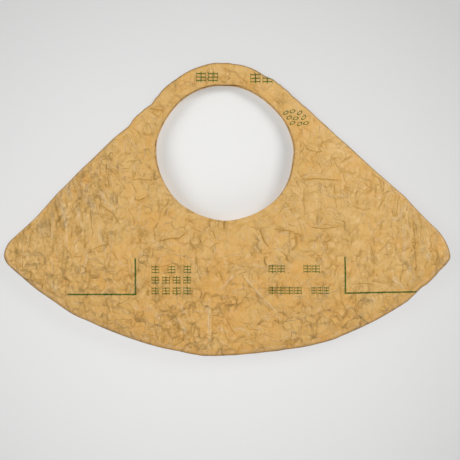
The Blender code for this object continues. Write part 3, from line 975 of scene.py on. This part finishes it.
kraft = {
    "pale": (0.598, 0.370, 0.120),
    "deep": (0.562, 0.324, 0.084),
    "warm": (0.602, 0.306, 0.058),
    # paintedHighlight: painted highlight, a paler colour laid on ridges and on the sharp folds' ridges
    "paintedHighlight": (0.720, 0.530, 0.310),
    "shade": (0.400, 0.185, 0.022),
    # paintedEdgeShade: painted shade, a dark line along the hole's edge and the outer edge
    "paintedEdgeShade": (0.150, 0.085, 0.034),
    "ink": (0.027, 0.082, 0.001),
    "tones": (0.36, 0.64),
    "shares": {
        "ridge": 0.48,
        "furrow": 0.16,
        "line": 0.22,
        "foldRidge": 0.46,
        "foldFurrow": 0.33,
        "rolledShade": 0.40,
        "rimShade": 0.10,
        "edgeShade": 0.80,
        "ink": 0.97,
    },
    "roughness": 0.50,
    "inkRoughness": 0.95,
    "specular": 0.50,
    # the paper is warmer round this place, across and up, over this far
    "warmAcross": -0.010,
    "warmUp": -0.270,
    "warmWide": 0.150,
    "warmTall": 0.090,
    "warmFall": (0.0, 1.8, 0.17, -0.03),
    "warmth": (0.44, 0.74, 0.0, 0.62),
}


# a new material, with its tree, its shader and the Object coordinates
def newMaterial(name):
    material = bpy.data.materials.new(name)
    material.use_nodes = True
    tree = material.node_tree
    return material, tree, tree.nodes["Principled BSDF"], tree.nodes.new("ShaderNodeTexCoord").outputs["Object"]


# crumpled kraft: the felt's tone and warmth, then each mask times its share laid over them in its colour: painted
# highlight on ridges and the folds' ridges, painted shade in furrows, on the lines along folds, on the rolled edge
# where it faces down and as a dark line along the hole and the edge; last the ink on the outside; the bump is the
# felt's height plus the folds'
def kraftMaterial(name, paper, creaseShading, folds, ink):
    material, tree, shader, place = newMaterial(name)
    marks = {}
    for key in ("crease", "outside", "rimShade", "edgeShade", "rolledShade", "foldSide", "foldForce"):
        node = tree.nodes.new("ShaderNodeAttribute")
        node.attribute_name = key
        marks[key] = node.outputs["Fac"]
    felt = groupNode(paper, Vector=place)
    tones = groupNode(creaseShading, Crease=marks["crease"])
    fold = groupNode(folds, Vector=place, Side=marks["foldSide"], Force=marks["foldForce"])
    axes = axesOf(place)
    aside = times(minus(axes["X"], kraft["warmAcross"]), 1 / kraft["warmWide"])
    above = times(minus(axes["Z"], kraft["warmUp"]), 1 / kraft["warmTall"])
    near = ranged(squares(aside, above), *kraft["warmFall"])
    warmth = ranged(plus(felt["Warmth"], near), *kraft["warmth"])
    colour = mixed(ranged(felt["Tone"], *kraft["tones"]), kraft["deep"], kraft["pale"])
    colour = mixed(warmth, colour, kraft["warm"])
    layers = [
        (tones["Ridge"], "ridge", "paintedHighlight"),
        (tones["Furrow"], "furrow", "shade"),
        (felt["Line"], "line", "shade"),
        (fold["Ridge"], "foldRidge", "paintedHighlight"),
        (fold["Furrow"], "foldFurrow", "shade"),
        (marks["rolledShade"], "rolledShade", "shade"),
        (marks["rimShade"], "rimShade", "paintedEdgeShade"),
        (marks["edgeShade"], "edgeShade", "paintedEdgeShade"),
    ]
    shader.inputs["Roughness"].default_value = kraft["roughness"]
    if ink is not None:
        inked = times(groupNode(ink, Vector=place)["Ink"], marks["outside"])
        layers.append((inked, "ink", "ink"))
        rough = ranged(inked, 0.0, 1.0, kraft["roughness"], kraft["inkRoughness"])
        link(rough, shader.inputs["Roughness"])
    for mask, share, over in layers:
        colour = mixed(times(mask, kraft["shares"][share]), colour, kraft[over])
    link(colour, shader.inputs["Base Color"])
    shader.inputs["Specular IOR Level"].default_value = kraft["specular"]
    values = [plus(felt["Height"], fold["Height"]), 1.0, 1.0]
    bump = newNode("ShaderNodeBump", values, ["Height", "Distance", "Strength"])
    link(bump.outputs["Normal"], shader.inputs["Normal"])
    return material


paper, creaseShading, folds, ink = paperGroup(), creaseShadingGroup(), foldGroup(), printGroup()
papers = {
    "kraft_front": kraftMaterial("printedKraft", paper, creaseShading, folds, ink),
    "kraft_back": kraftMaterial("plainKraft", paper, creaseShading, folds, None),
}

backmost = []
for name, row in panels.items():
    piece = panelMesh(name, row)
    places = np.empty(3 * len(piece.data.vertices))
    piece.data.vertices.foreach_get("co", places)
    backmost.append(places.reshape(-1, 3)[:, 1:])
    piece.data.materials.append(papers[row["slot"]])
    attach(piece, "root")
    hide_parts(row["node"])
    print("stage:", name, len(piece.data.polygons), "faces")


studio = {
    "wallGap": 0.0010,  # between the bag's back and the wall
    "wallLean": 0.070,  # the wall's slope against the bag, whose ring hangs close to it
    "wallWide": 3.0,  # half sizes of the wall and the floor, and the height of the wall's middle
    "wallTall": 1.55,
    "wallMiddle": 0.6,
    "floorWide": 6.0,
    "floorBelow": 0.95,
    "pale": (0.80, 0.80, 0.79),
    "mottle": 0.98,  # share of the pale colour that the darker mottle has
    "mottleNoise": (6.0, 3.0),
    "mottleRange": (0.3, 0.7),
    "matt": (0.9, 0.2),  # roughness and specular level
    "lens": 50.0,
    "sensor": 36.0,
    "aim": (0.0062, -0.1822),  # across and up, what the camera looks straight at
    "frameWidth": 0.5767,  # what the frame spans at the bag
    "room": (0.93, 0.94, 0.95, 1.0),
    "ambient": 0.20,
    # painted light on the wall, the brightness of its paint: at the hang point, how it changes per metre across and up,
    # how it falls off per metre squared across and up, its least, and how much more it has behind the hole
    "paintedLight": 0.860,
    "paintedLightSlope": (-0.074, -0.634),
    "paintedLightFall": (-1.10, -1.30),
    "paintedLightLeast": 0.68,
    "paintedLightBehind": 0.028,
    "behind": (0.080, 0.120, 1.0, 0.0),
    "glow": 0.80,  # painted glow from a wall that is no lamp: share of the wall's brightness that no shadow takes away, and the same behind the hole
    "glowBehind": 0.30,
    "shine": 0.86,
}

lights = {  # place, what it faces, side, power and colour
    "keyLight": ((1.6, -2.1, 0.95), (0, 0, -0.17), 1.1, 50.5, (1.0, 0.99, 0.97)),
    "fillLight": ((-1.7, -2.0, 0.3), (0, 0, -0.17), 1.3, 35.0, (0.98, 0.99, 1.0)),
    "backLight": ((0.5, 1.7, 0.9), (0, 0, -0.2), 1.2, 20.0, (1.0, 1.0, 1.0)),
}


# a plain square from its middle and its two half-side vectors
def plainSquare(name, middle, sideA, sideB):
    middle, sideA, sideB = (np.array(v, float) for v in (middle, sideA, sideB))
    corners = [middle + a * sideA + b * sideB for a, b in ((-1, -1), (1, -1), (1, 1), (-1, 1))]
    mesh = bpy.data.meshes.new(name)
    mesh.from_pydata([tuple(c) for c in corners], [], [(0, 1, 2, 3)])
    obj = placed(name, mesh)
    return obj


# pale, matt paint with a faint mottle; gives the material, its tree, shader, Object coordinates and colour
def paintedMaterial(name):
    material, tree, shader, place = newMaterial(name)
    mottle = ranged(noiseNode(place, *studio["mottleNoise"]), *studio["mottleRange"])
    colour = mixed(mottle, tuple(studio["mottle"] * v for v in studio["pale"]), studio["pale"])
    shader.inputs["Roughness"].default_value, shader.inputs["Specular IOR Level"].default_value = studio["matt"]
    link(colour, shader.inputs["Base Color"])
    return material, tree, shader, place, colour


# the wall: its paint carries painted light, a sum of squares of across and up, darker towards its borders and brighter
# behind the hole. Its soft glow, painted light from a wall that is no lamp, keeps the shadows faint and is weaker
# behind the hole. From behind it is clear, so the bag's back shows too.
def wallMaterial(name):
    material, tree, shader, place, colour = paintedMaterial(name)
    axes = axesOf(place)
    down = plus(axes["Z"], bag["holeRadius"])
    fromHole = mathNode("SQRT", squares(axes["X"], down))
    behind = ranged(fromHole, *studio["behind"])
    paintedLight = studio["paintedLight"]
    for axis, slope, fall in zip("XZ", studio["paintedLightSlope"], studio["paintedLightFall"]):
        change = mathNode("MULTIPLY_ADD", axes[axis], fall, slope)
        paintedLight = mathNode("MULTIPLY_ADD", axes[axis], change, paintedLight)
    paintedLight = mathNode("MAXIMUM", paintedLight, studio["paintedLightLeast"])
    paintedLight = plus(paintedLight, times(behind, studio["paintedLightBehind"]))
    # painted light: the glow is emission from the wall, which is no lamp, and the paint's falloff darkens it towards
    # its borders
    glow = minus(studio["glow"], times(behind, studio["glow"] - studio["glowBehind"]))
    lit = mixed(1.0, colour, times(paintedLight, minus(1.0, glow)), "MULTIPLY")
    link(lit, shader.inputs["Base Color"])
    link(times(times(paintedLight, glow), studio["shine"]), shader.inputs["Emission Color"])
    shader.inputs["Emission Strength"].default_value = 1.0
    backfacing = tree.nodes.new("ShaderNodeNewGeometry").outputs["Backfacing"]
    shadowRay = tree.nodes.new("ShaderNodeLightPath").outputs["Is Shadow Ray"]
    clear = tree.nodes.new("ShaderNodeBsdfTransparent").outputs[0]
    values = [mathNode("MAXIMUM", backfacing, shadowRay), shader.outputs[0], clear]
    link(newNode("ShaderNodeMixShader", values).outputs[0], tree.nodes["Material Output"].inputs["Surface"])
    return material


# a square area light at a place, turned to face a point
def areaLight(name, place, target, size, power, colour):
    data = bpy.data.lights.new(name, "AREA")
    data.shape = "SQUARE"
    data.size = size
    data.energy = power
    data.color = colour
    obj = placed(name, data)
    obj.location = place
    obj.rotation_mode = "QUATERNION"
    obj.rotation_quaternion = (Vector(target) - Vector(place)).to_track_quat("-Z", "Y")


wide = studio["floorWide"]
floor = plainSquare("floor", (0, 0, -studio["floorBelow"]), (wide, 0, 0), (0, wide, 0))
floor.data.materials.append(paintedMaterial("paleFloor")[0])
lean, high, tall = studio["wallLean"], studio["wallMiddle"], studio["wallTall"]
wallPlace = studio["wallGap"] + max((places @ (1.0, lean)).max() for places in backmost)
wall = plainSquare("wall", (0, wallPlace - high * lean, high), (studio["wallWide"], 0, 0), (0, -tall * lean, tall))
wall.data.materials.append(wallMaterial("paleWall"))
for name, row in lights.items():
    areaLight(name, *row)

world = bpy.data.worlds.new("paleRoom")
world.use_nodes = True
world.node_tree.nodes["Background"].inputs["Color"].default_value = studio["room"]
world.node_tree.nodes["Background"].inputs["Strength"].default_value = studio["ambient"]
bpy.context.scene.world = world
bpy.context.scene.view_settings.view_transform = "Standard"

lens = bpy.data.cameras.new("camera")
lens.lens = studio["lens"]
lens.sensor_width = studio["sensor"]
camera = placed("camera", lens)
away = 0.5 * studio["frameWidth"] / (0.5 * lens.sensor_width / lens.lens)
camera.location = (studio["aim"][0], -away, studio["aim"][1])
camera.rotation_euler = (math.radians(90), 0, 0)
bpy.context.scene.camera = camera
print("stage: studio made")
